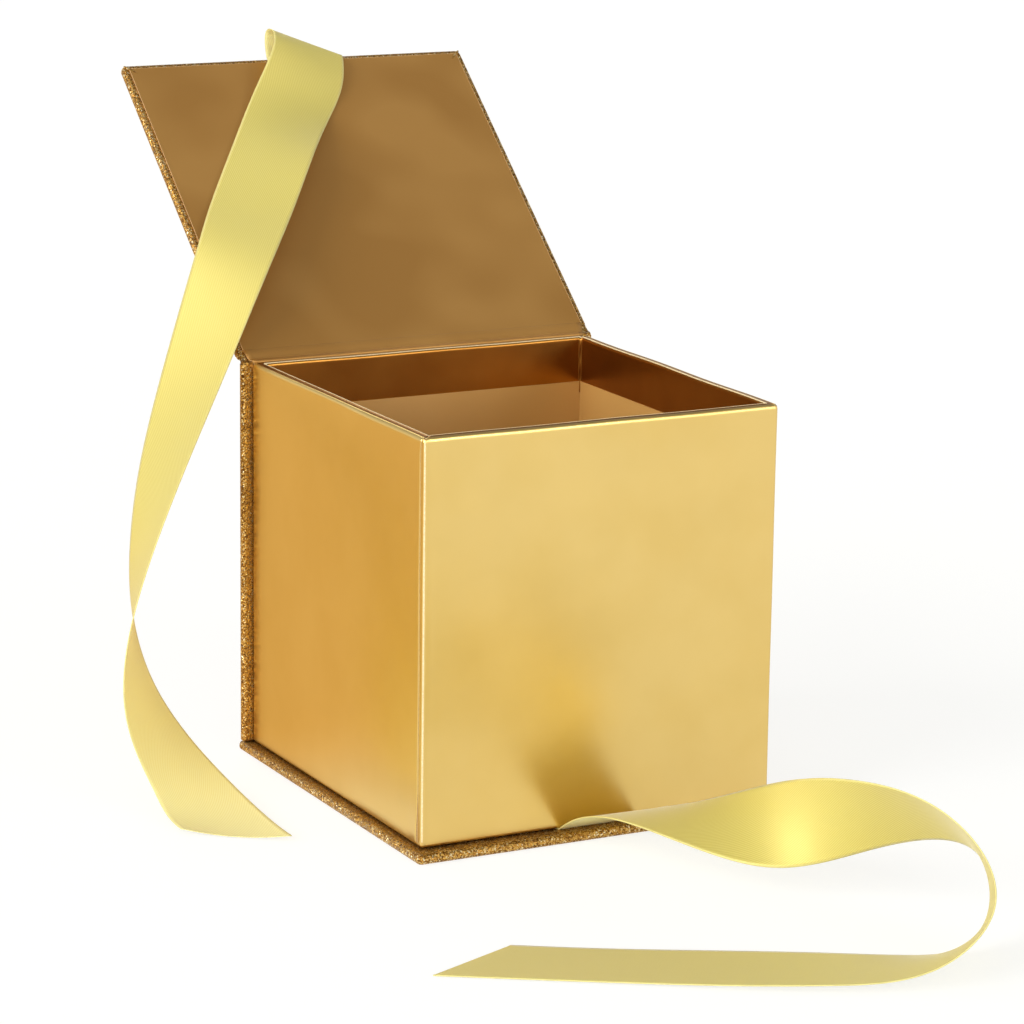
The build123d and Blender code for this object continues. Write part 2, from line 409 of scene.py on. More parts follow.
@dataclass(frozen=True)
class MattPaper(Finish):
    """Uncoated paper printed with a bronze metallic ink.

    It gives the eye a brown-gold with a soft broad sheen and a dry fibre grain.
    """

    name: str = "matt_bronze_gold_paper"
    light: str = "#C5934D"
    dark: str = "#B78541"
    fibre: float = 0.5
    patch: float = 30.0
    nap: float = 0.03
    metal: float = 0.5
    rough: float = 0.4

    def shade(self, tree: bpy.types.NodeTree) -> bpy.types.NodeSocket:
        """Mix two bronzes by slow patches, and raise a fibre grain drawn coarse enough to show.

        Args:
            tree: the material's empty node tree.

        Returns:
            The shader output that the surface takes.
        """
        place = add_node(tree, "TexCoord").outputs["Object"]
        patches = add_node(tree, "TexNoise", {
            "Vector": place, "Scale": per_metre(self.patch), "Detail": 1.0,
        }).outputs["Fac"]
        bronze = add_node(tree, "ValToRGB", {"Fac": patches}, (
            (0.38, self.dark), (0.62, self.light),
        )).outputs["Color"]
        fibres = add_node(tree, "TexNoise", {
            "Vector": place, "Scale": per_metre(self.fibre), "Detail": 2.0,
        }).outputs["Fac"]
        grain = add_node(tree, "Bump", {
            "Height": fibres, "Strength": 0.25, "Distance": self.nap * MM,
        }).outputs["Normal"]
        return add_node(tree, "BsdfPrincipled", {
            "Base Color": bronze, "Metallic": self.metal, "Roughness": self.rough,
            "Normal": grain,
        }).outputs["BSDF"]


@dataclass(frozen=True)
class GlitterPaper(Finish):
    """Paper coated with cut gold glitter.

    It gives the eye a brown-gold grit whose flakes lie at all angles, so that single ones
    flash pale while their neighbours stay dark.
    """

    name: str = "cut_gold_glitter_paper"
    dark: str = "#6B4310"
    gold: str = "#B58338"
    bright: str = "#DDB25C"
    pale: str = "#FFF0C4"
    flake: float = 0.31
    flake_step: float = 0.1
    tilt: float = 0.9
    metal: float = 0.8
    rough: float = 0.32

    def shade(self, tree: bpy.types.NodeTree) -> bpy.types.NodeSocket:
        """Give every cell of a cell pattern, one flake, its own colour and its own tilt.

        Args:
            tree: the material's empty node tree.

        Returns:
            The shader output that the surface takes.
        """
        place = add_node(tree, "TexCoord").outputs["Object"]
        flakes = add_node(tree, "TexVoronoi", {
            "Vector": place, "Scale": per_metre(self.flake),
        })
        chance = add_node(tree, "SeparateColor", {"Color": flakes.outputs["Color"]})
        colour = add_node(tree, "ValToRGB", {"Fac": chance.outputs["Red"]}, (
            (0.1, self.dark), (0.5, self.gold), (0.85, self.bright), (0.98, self.pale),
        )).outputs["Color"]
        lean = add_node(tree, "VectorMath", {
            0: flakes.outputs["Color"], 1: (0.5, 0.5, 0.5),
        }, operation="SUBTRACT").outputs["Vector"]
        face = add_node(tree, "NewGeometry").outputs["Normal"]
        leaned = add_node(tree, "VectorMath", {
            0: lean, 1: (self.tilt, self.tilt, self.tilt), 2: face,
        }, operation="MULTIPLY_ADD").outputs["Vector"]
        turned = add_node(tree, "VectorMath", {0: leaned}, operation="NORMALIZE").outputs["Vector"]
        grit = add_node(tree, "Bump", {
            "Height": flakes.outputs["Distance"], "Normal": turned,
            "Strength": 0.4, "Distance": self.flake_step * MM,
        }, invert=True).outputs["Normal"]
        return add_node(tree, "BsdfPrincipled", {
            "Base Color": colour, "Metallic": self.metal, "Roughness": self.rough,
            "Normal": grit,
        }).outputs["BSDF"]


@dataclass(frozen=True)
class FibreBoard(Finish):
    """Pressed waste-paper board, or the bare fibres of a cut or rubbed paper.

    It gives the eye a dull grey, buff or pale tan with short fibres of mixed tone.
    """

    light: str = "#A19C92"
    dark: str = "#7F7A70"
    fibre: float = 0.8
    nap: float = 0.06
    rough: float = 0.85

    def shade(self, tree: bpy.types.NodeTree) -> bpy.types.NodeSocket:
        """Mix two tones by a distorted fibre noise that also roughens the surface.

        Args:
            tree: the material's empty node tree.

        Returns:
            The shader output that the surface takes.
        """
        place = add_node(tree, "TexCoord").outputs["Object"]
        fibres = add_node(tree, "TexNoise", {
            "Vector": place, "Scale": per_metre(self.fibre), "Detail": 4.0, "Distortion": 0.8,
        }).outputs["Fac"]
        tone = add_node(tree, "ValToRGB", {"Fac": fibres}, (
            (0.35, self.dark), (0.65, self.light),
        )).outputs["Color"]
        nap = add_node(tree, "Bump", {
            "Height": fibres, "Strength": 0.5, "Distance": self.nap * MM,
        }).outputs["Normal"]
        return add_node(tree, "BsdfPrincipled", {
            "Base Color": tone, "Roughness": self.rough, "Normal": nap,
        }).outputs["BSDF"]


@dataclass(frozen=True)
class SatinRibbon(Finish):
    """One side of a single-face polyester satin ribbon.

    The satin face gives the eye a deep gold with a strong broad sheen along its floating
    threads; the back gives a light matt yellow. Both let a little of what is behind show,
    and have fine slanting weave lines and a corded selvedge.
    """

    light: str = "#E8DA7C"
    dark: str = "#D9C75F"
    selvedge: str = "#EADC86"
    tint: str = "#FFF6D8"
    rough: float = 0.54
    shine: float = 0.9
    sheen: float = 0.35
    metal: float = 0.2
    glow: float = 0.1
    thread: float = 0.5
    thread_depth: float = 0.05
    slant: float = 33.0
    half_width: float = 11.1
    cord: float = 0.45
    opacity: float = 0.92

    def shade(self, tree: bpy.types.NodeTree) -> bpy.types.NodeSocket:
        """Draw the weave from the sheet's flat millimetres, coarser than real so that it shows.

        Args:
            tree: the material's empty node tree.

        Returns:
            The shader output that the surface takes.
        """
        flat = add_node(tree, "UVMap", uv_map="flat").outputs["UV"]
        turned = add_node(tree, "Mapping", {
            "Vector": flat, "Rotation": (0.0, 0.0, math.radians(90.0 - self.slant)),
        }).outputs["Vector"]
        # The band texture repeats once in a twentieth of a turn, 2 pi / 20.
        weave = add_node(tree, "TexWave", {
            "Vector": turned, "Scale": 2 * math.pi / 20 / self.thread,
            "Distortion": 0.6, "Detail": 2.0, "Detail Scale": 1.5,
        }, wave_type="BANDS", bands_direction="X").outputs["Fac"]
        body = add_node(tree, "ValToRGB", {"Fac": weave}, (
            (0.1, self.dark), (0.9, self.light),
        )).outputs["Color"]
        across = add_node(tree, "SeparateXYZ", {"Vector": flat}).outputs["Y"]
        out = add_node(tree, "Math", {0: across}, operation="ABSOLUTE").outputs["Value"]
        edge = add_node(tree, "MapRange", {
            "Value": out, "From Min": self.half_width - self.cord - 0.2,
            "From Max": self.half_width - self.cord + 0.1,
        }, interpolation_type="SMOOTHSTEP").outputs["Result"]
        colour = add_node(tree, "Mix", {
            0: edge, 6: body, 7: linear(self.selvedge),
        }, data_type="RGBA").outputs[2]
        threads = add_node(tree, "Bump", {
            "Height": weave, "Strength": 0.25, "Distance": self.thread_depth * MM,
        }).outputs["Normal"]
        along = add_node(
            tree, "Tangent", direction_type="UV_MAP", uv_map="flat",
        ).outputs["Tangent"]
        return add_node(tree, "BsdfPrincipled", {
            "Base Color": colour, "Metallic": self.metal, "Roughness": self.rough,
            "Alpha": self.opacity,
            "Subsurface Weight": self.glow, "Subsurface Radius": (1.0, 0.85, 0.4),
            "Subsurface Scale": 0.6 * MM,
            "Specular IOR Level": self.shine, "Specular Tint": linear(self.tint),
            "Anisotropic": 0.5, "Tangent": along, "Normal": threads,
            "Sheen Weight": self.sheen, "Sheen Roughness": 0.4,
        }).outputs["BSDF"]


@dataclass(frozen=True)
class StudioFloor(Finish):
    """White painted board, tinted cream toward the back for all rays but the camera's: a painted
    warm bounce and shade that the foil mirrors.

    It gives the eye plain white with the box's soft shadow on it.
    """

    name: str = "white_studio_board"
    white: str = "#F2F2F0"
    painted_warm_bounce: str = "#E6C68C"
    painted_bounce_from: float = -20.0
    painted_bounce_to: float = 70.0
    full_white: float = 1.28
    shadow_share: float = 0.3
    mirror_share: float = 0.5

    def shade(self, tree: bpy.types.NodeTree) -> bpy.types.NodeSocket:
        """Mix the lit board with plain white for the rays that show it; others meet it as lit.

        Args:
            tree: the material's empty node tree.

        Returns:
            The shader output that the surface takes.
        """
        place = add_node(tree, "TexCoord").outputs["Object"]
        back = add_node(tree, "SeparateXYZ", {"Vector": place}).outputs["Y"]
        fade = add_node(tree, "MapRange", {
            "Value": back, "From Min": self.painted_bounce_from * MM, "From Max": self.painted_bounce_to * MM,
        }, interpolation_type="SMOOTHSTEP").outputs["Result"]
        rays = add_node(tree, "LightPath")
        unseen = add_node(tree, "Math", {
            0: 1.0, 1: rays.outputs["Is Camera Ray"],
        }, operation="SUBTRACT").outputs["Value"]
        # For all rays but the camera's the floor turns cream toward the back: painted warm bounce
        # and shade for the foil to mirror.
        painted_bounce_share = add_node(tree, "Math", {0: fade, 1: unseen}, operation="MULTIPLY").outputs["Value"]
        tone = add_node(tree, "ValToRGB", {"Fac": painted_bounce_share}, (
            (0.0, self.white), (1.0, self.painted_warm_bounce),
        )).outputs["Color"]
        lit = add_node(tree, "BsdfDiffuse", {"Color": tone}).outputs["BSDF"]
        # A little over 1, so that the open floor with its lit share comes out full white.
        plain = add_node(tree, "Emission", {
            "Color": tone, "Strength": self.full_white,
        }).outputs["Emission"]
        seen = add_node(tree, "Math", {
            0: rays.outputs["Is Camera Ray"], 1: rays.outputs["Is Transmission Ray"],
        }, operation="MAXIMUM").outputs["Value"]
        shown = add_node(tree, "Math", {
            0: seen, 1: 1.0 - self.shadow_share,
        }, operation="MULTIPLY").outputs["Value"]
        mirrored = add_node(tree, "Math", {
            0: rays.outputs["Is Glossy Ray"], 1: self.mirror_share,
        }, operation="MULTIPLY").outputs["Value"]
        share = add_node(tree, "Math", {
            0: shown, 1: mirrored,
        }, operation="MAXIMUM").outputs["Value"]
        return add_node(tree, "MixShader", {0: share, 1: lit, 2: plain}).outputs["Shader"]


# Foil on the tray's walls, and its turn-in: a darker amber copy of the foil, painted shade
# and reflection of the box's inside.
FOIL = FoilPaper()
TURN_IN_PAINTED_SHADE = FoilPaper("gold_foil_turn_in_painted_shade", light="#B07A35", dark="#A46F2E")
# The lid's bronze lining with its soft sheen, and the tray's drier copy of the same paper,
# painted paler for the light that falls on the tray's inner walls.
MATT = MattPaper()
TRAY_MATT_PAINTED_LIGHTER = MattPaper(
    "tray_lining_paper_painted_lighter", light="#CFA05A", dark="#CA9A53", metal=0.1, rough=0.5,
)
GLITTER = GlitterPaper()
# Dull board inside the papers, and brown kraft, which also shows as the line of the lap.
BOARD = FibreBoard("pressed_greyboard")
STAY = FibreBoard("kraft_stay_paper", light="#BC9763", dark="#A17D4B", fibre=0.6)
# The ribbon's deep gold face, and its pale and duller back.
SATIN_FACE = SatinRibbon("satin_ribbon_face")
SATIN_BACK = SatinRibbon(
    "satin_ribbon_back", light="#FBF3AE", dark="#F5E99C", selvedge="#F3E89C",
    rough=0.55, shine=0.25, sheen=0.2, metal=0.0,
)
# A pale painted highlight along the rim's crest and the walls' corners, a lining's tan cut edge,
# and the foil paper's white underside.
EDGE_PAINTED_HIGHLIGHT = FibreBoard("foil_edge_painted_highlight", light="#F1DDB2", dark="#E4C78E", fibre=0.4)
CUT_EDGE = FibreBoard("tan_paper_cut_edge", light="#CFA670", dark="#BC9159", fibre=0.3)
CORE = FibreBoard("white_paper_core", light="#F4ECDD", dark="#E9DECB", fibre=0.3)
FLOOR = StudioFloor()

# The material slots of the tray's foil paper, in order.
WRAP_FINISHES = (FOIL, CORE, EDGE_PAINTED_HIGHLIGHT, STAY, TURN_IN_PAINTED_SHADE)


def dress(nodes: tuple[str, ...], finish: Finish) -> None:
    """Give the finish to solids of the frame.

    Args:
        nodes: names of the solids.
        finish: what they are covered with.
    """
    material = finish.material()
    for name in nodes:
        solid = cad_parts[name]
        for holder in solid.material_slots:
            holder.material = material
        log.info("%s dressed in %s", name, finish.name)


@dataclass(frozen=True)
class Station:
    """One point of a ribbon's route, and how the ribbon lies across it there.

    The three lengths are across, up and out on the lid; out, along and up beside it; and
    across, out and up in front of the tray. Turn and tilt aim the ribbon's width.
    """

    place: Place
    a: float
    b: float
    c: float
    turn: float
    tilt: float

    def middle(self) -> Array:
        """Place the middle of the ribbon by what the route is measured from.

        Returns:
            The point in millimetres.
        """
        if self.place is Place.LID:
            return SIZES.hinge + np.array([self.a, self.b, self.c]) @ SIZES.lid_axes
        if self.place is Place.BESIDE:
            return np.array([-SIZES.case_half_width - self.a, self.b, self.c])
        return np.array([self.a, SIZES.tray_front - self.b, self.c])

    def across(self) -> Array:
        """Aim the ribbon's width: turned in the place's own plane, then tilted out of it.

        Returns:
            The unit vector from the ribbon's left to its right edge.
        """
        turn, tilt = math.radians(self.turn), math.radians(self.tilt)
        width = np.array([
            math.cos(tilt) * math.cos(turn), math.cos(tilt) * math.sin(turn), math.sin(tilt),
        ])
        return width @ SIZES.lid_axes if self.place is Place.LID else width


@dataclass
class RibbonTie:
    """A ribbon tie glued down at one end, loose along the rest and cut on the slant at its tip."""

    name: str
    stations: tuple[Station, ...]
    start: tuple[float, float, float]
    cut_sign: float
    tab: float
    held: str
    rests_on: tuple[str, ...]
    width: float = 22.2
    thickness: float = 0.16
    cord_thickness: float = 0.14
    end_cut: float = 40.0
    end_cup: float = 0.0
    cup_length: float = 45.0
    cord_from: float = 0.93
    cord_rise: float = 0.04
    rows: int = 900
    columns: int = 25
    tab_rows: int = 15

    def tip_way(self, middles: Array) -> Array:
        """Return the level unit vector along the ribbon at its tip."""
        way = (middles[-1] - middles[-2]) * np.array([1.0, 1.0, 0.0])
        return way / np.linalg.norm(way)

    def route(self) -> tuple[Array, Array, Array]:
        """Lay out the route, with the last half-width slanted along the ribbon by the cut.

        Returns:
            The chord length up to each station, its middle and its half-width vector.
        """
        middles = np.array([station.middle() for station in self.stations])
        halves = np.array([station.across() for station in self.stations]) * self.width / 2
        slant = self.cut_sign * math.tan(math.radians(self.end_cut)) * self.width / 2
        halves[-1] += slant * self.tip_way(middles)
        runs = np.linalg.norm(np.diff(middles, axis=0), axis=1)
        return np.concatenate([[0.0], np.cumsum(runs)]), middles, halves

    def surface(self) -> tuple[Array, Array]:
        """Work out the ribbon's middle surface.

        Each edge is a clamped cubic spline through the middles less or plus the half-width
        vectors. A point is the straight mix of the two edges, so that the ribbon is ruled
        across its width, and near the tip it is cupped by the square of its place across.

        Returns:
            The points as rows by columns by three, and their distance along by across.
        """
        knots, middles, halves = self.route()
        end = self.tip_way(middles)
        along = np.linspace(0.0, knots[-1], self.rows)
        first = np.array(self.start) / np.linalg.norm(self.start)
        left = spline(knots, middles - halves, first, end, along)
        right = spline(knots, middles + halves, first, end, along)
        if self.tab:
            steps = np.linspace(self.tab, 0.0, self.tab_rows, endpoint=False)
            back = steps[:, None] * np.array([0.0, 1.0, 0.0])
            left = np.vstack([left[0] + back, left])
            right = np.vstack([right[0] + back, right])
            along = np.concatenate([-steps, along])
        across = np.linspace(-1.0, 1.0, self.columns)
        share = (across + 1) / 2
        share = share[None, :, None]
        points = left[:, None] * (1 - share) + right[:, None] * share
        near_tip = smooth(1 + (along - knots[-1]) / self.cup_length)
        points[..., 2] += self.end_cup * near_tip[:, None] * across[None, :] ** 2
        middle = (left + right) / 2
        runs = np.linalg.norm(np.diff(middle, axis=0), axis=1)
        length = np.concatenate([[0.0], np.cumsum(runs)])
        flat = np.stack(np.broadcast_arrays(
            length[:, None], across[None, :] * self.width / 2,
        ), axis=-1)
        return points, flat

    def build(self) -> tuple[bpy.types.Object, float]:
        """Make the ribbon's closed mesh: its middle surface moved half its thickness each way.

        Returns:
            The ribbon and its length in millimetres.
        """
        points, flat = self.surface()
        out = np.abs(flat[..., 1]) / (self.width / 2)
        cord = self.cord_thickness * smooth((out - self.cord_from) / self.cord_rise)
        half = (self.thickness + cord) / 2
        rings, faces = shell(points, half)
        rows, around = rings.shape[:2]
        side = np.zeros(len(faces), dtype=np.int64)
        side[:(rows - 1) * around] = np.tile(np.arange(around) >= self.columns, rows - 1)
        sheet = np.concatenate([flat, flat[:, ::-1]], axis=1)
        piece = put_mesh(
            self.name, rings.reshape(-1, 3), faces,
            [SATIN_BACK.material(), SATIN_FACE.material()], sheet.reshape(-1, 2), side,
        )
        return piece, float(flat[-1, 0, 0])

    def dress(self, node: str) -> bpy.types.Object:
        """Args:
            node: the solid that it stands for.

        Returns:
            The ribbon.
        """
        piece, length = self.build()
        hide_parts(node)
        log.info("%s is %.0f mm of %.1f mm ribbon", self.name, length, self.width)
        return piece


@dataclass
class Case:
    """The case: base, back and lid boards in glitter paper, with their hinge strips."""

    wrap_half_width: float = 51.45
    turn_in: float = 12.0
    wrap_paper: float = 0.3
    lining_half_width: float = 49.8
    lining_paper: float = 0.25
    lining_reach: float = 102.7
    lining_taper: float = 1.4
    edge_half: float = 0.07
    edge_rise: float = 0.28
    hinge_reach: float = 2.5
    wrap_bulge: float = 0.85
    fold_length: float = 5.0
    fold_radius: float = 0.45
    fold_inset: float = 0.6
    base_ledge: float = 3.4
    base_top: float = 2.6
    lid_fold_reach: float = 103.9
    line_count: int = 41
    span_count: int = 61
    edge_count: int = 21

    def lid_side(self, reach: float, rise: float) -> list[float]:
        """Return the side-view point so far up the lid and so far out of its inner face."""
        point = SIZES.hinge + np.array([0.0, reach, rise]) @ SIZES.lid_axes
        return [float(point[1]), float(point[2])]

    def side_line(self, profile: list[list[float]]) -> Array:
        """Draw a smooth line through the points of a side view, as a clamped cubic spline.

        Args:
            profile: y and z of each point.

        Returns:
            Points of the line, y and z in a row.
        """
        points = np.array(profile)
        runs = np.linalg.norm(np.diff(points, axis=0), axis=1)
        knots = np.concatenate([[0.0], np.cumsum(runs)])
        first, last = (points[1] - points[0]) / runs[0], (points[-1] - points[-2]) / runs[-1]
        return spline(knots, points, first, last, np.linspace(0.0, knots[-1], self.line_count))

    def build_hinge_lining(self) -> bpy.types.Object:
        """Build the lining over the hinge.

        The surface is a side-view line carried along X, whose two ends come in by the taper
        from the lid to the tray, with the tan cut edge of the paper at both ends.

        Returns:
            The lining strip.
        """
        line = self.side_line([
            [50.775, 104.5], [50.775, 105.2], self.lid_side(-0.9, 0.15),
            self.lid_side(0.3, 0.05), self.lid_side(1.4, 0.2),
            self.lid_side(self.hinge_reach, 0.125),
        ])
        share = np.linspace(-1.0, 1.0, self.span_count)
        taper = self.lining_taper * np.linspace(1.0, 0.0, len(line)) ** 1.5
        half_width = self.lining_half_width - taper
        points = np.empty((len(share), len(line), 3))
        points[..., 0] = share[:, None] * half_width[None, :]
        points[..., 1:] = line[None]
        rings, faces = shell(points, self.lining_paper / 2)
        cut = np.arange(len(faces)) >= (len(share) - 1) * rings.shape[1]
        return put_mesh(
            "hinge_lining_strip", rings.reshape(-1, 3), faces,
            [MATT.material(), CUT_EDGE.material()], face_material=cut,
        )

    def build_hinge_wrap(self) -> bpy.types.Object:
        """Build the glitter paper over the hinge, with its turn-ins at both ends.

        Across the hinge the surface runs along the outer side-view line, turns over both ends
        by half an ellipse and comes back along the inner line as far as the turn-ins reach.

        Returns:
            The glitter strip.
        """
        outer = self.side_line([
            [53.35, 104.5], [53.35, 105.0], self.lid_side(0.5, -0.85),
            self.lid_side(1.4, -2.1), self.lid_side(self.hinge_reach, -2.45),
        ])
        inner = self.side_line([
            [51.05, 104.5], [51.05, 104.9], self.lid_side(-0.7, -0.2),
            self.lid_side(0.3, -0.25), self.lid_side(1.4, -0.15),
            self.lid_side(self.hinge_reach, -0.15),
        ])
        turn = np.linspace(0.0, math.pi, 15)[1:-1]
        end = self.wrap_half_width - self.wrap_paper / 2
        flat = end - self.wrap_bulge
        flap = np.linspace(end - self.turn_in, flat, 12)
        over = np.linspace(-flat, flat, self.span_count)
        ends = flat + self.wrap_bulge * np.sin(turn)
        x = np.concatenate([-flap, -ends, over, ends, flap[::-1]])
        mix = np.concatenate([
            np.zeros(len(flap)), (1 - np.cos(turn)) / 2, np.ones(len(over)),
            (1 + np.cos(turn)) / 2, np.zeros(len(flap)),
        ])
        points = np.empty((len(x), len(outer), 3))
        points[..., 0] = x[:, None]
        points[..., 1:] = inner[None] + mix[:, None, None] * (outer - inner)[None]
        rings, faces = shell(points, self.wrap_paper / 2)
        return put_mesh("hinge_wrap_strip", rings.reshape(-1, 3), faces, [GLITTER.material()])

    def build_hinge(self) -> None:
        """Put the two papers of the hinge in their solids' place."""
        for piece, node, slot in (
            (self.build_hinge_lining(), "hinge_lining", Slot.MATT),
            (self.build_hinge_wrap(), "hinge_wrap", Slot.GLITTER),
        ):
            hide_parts(node)
            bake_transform(piece)
            log.info("%s bends with the lid", piece.name)

    def build_lining_edge(self) -> None:
        """Build the tan cut edge of the lid's lining.

        A narrow square section is carried along the lining's two sides and its free edge.
        """
        reach, wide = self.lining_reach, self.lining_half_width
        side = np.linspace(self.hinge_reach, reach, self.edge_count)
        along = np.linspace(-wide, wide, self.edge_count)[1:-1]
        one = np.ones(len(side))
        x = np.concatenate([-wide * one, along, wide * one])
        up = np.concatenate([side, np.full(len(along), reach), side[::-1]])
        out_x = np.concatenate([-one, np.zeros(len(along)), one])
        out_up = (up == reach).astype(float)
        half, rise = self.edge_half, self.edge_rise
        rings = np.stack([
            np.stack([x + out_x * shift, up + out_up * shift, np.full(len(x), height)], axis=-1)
            for shift, height in ((half, 0.0), (half, rise), (-half, rise), (-half, 0.0))
        ], axis=1)
        points = SIZES.hinge + rings.reshape(-1, 3) @ SIZES.lid_axes
        faces = ring_faces(*rings.shape[:2])
        edge = put_mesh("lid_lining_edge", points, faces, [CUT_EDGE.material()])
        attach(edge, Body.LID.value)
        log.info("lid_lining_edge is laid")

    def mitre_fold(self, name: str, corner: Array, inward: Array, rise: Array, body: Body) -> None:
        """Build the ridge where two turn-ins meet at a corner.

        The ridge is a half-round section along the mitre, lower and narrower to both ends.

        Args:
            name: the piece's name.
            corner: the corner on the panel's face.
            inward: the unit vector along the mitre.
            rise: the unit vector out of the face.
            body: what it rides on.
        """
        share = np.linspace(0.0, 1.0, 25)
        radius = self.fold_radius * (0.35 + 0.65 * np.sin(math.pi * share) ** 0.5)
        around = np.linspace(-0.15, 1.15, 16) * math.pi
        across = np.cross(rise, inward)
        section = np.cos(around)[:, None] * across + 0.8 * np.sin(around)[:, None] * rise
        middle = corner + share[:, None] * self.fold_length * inward
        points = middle[:, None] + radius[:, None, None] * section[None]
        faces = ring_faces(len(share), len(around))
        fold = put_mesh(name, points.reshape(-1, 3), faces, [GLITTER.material()])
        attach(fold, body.value)
        log.info("%s is folded", name)

    def build_folds(self) -> None:
        """Fold the turn-ins' corners at the front of the base and at the lid's free edge."""
        up = np.array([0.0, 0.0, 1.0])
        for sign, side in ((-1.0, "left"), (1.0, "right")):
            x = sign * (SIZES.case_half_width - self.fold_inset)
            corner = np.array([x, SIZES.tray_front - self.base_ledge, self.base_top])
            inward = np.array([-sign, 1.0, 0.0]) / math.sqrt(2)
            self.mitre_fold(f"base_fold_{side}", corner, inward, up, Body.BOX)
            corner = SIZES.hinge + np.array([x, self.lid_fold_reach, 0.0]) @ SIZES.lid_axes
            inward = np.array([-sign, -1.0, 0.0]) / math.sqrt(2) @ SIZES.lid_axes
            self.mitre_fold(f"lid_fold_{side}", corner, inward, SIZES.lid_axes[2], Body.LID)

    def dress(self) -> None:
        """Dress the boards, the glitter paper round them and the matt lining."""
        dress(("base_board", "back_board", "lid_board"), BOARD)
        dress(("base_wrap", "back_wrap", "lid_wrap"), GLITTER)
        dress(("lid_lining", "back_lining"), MATT)


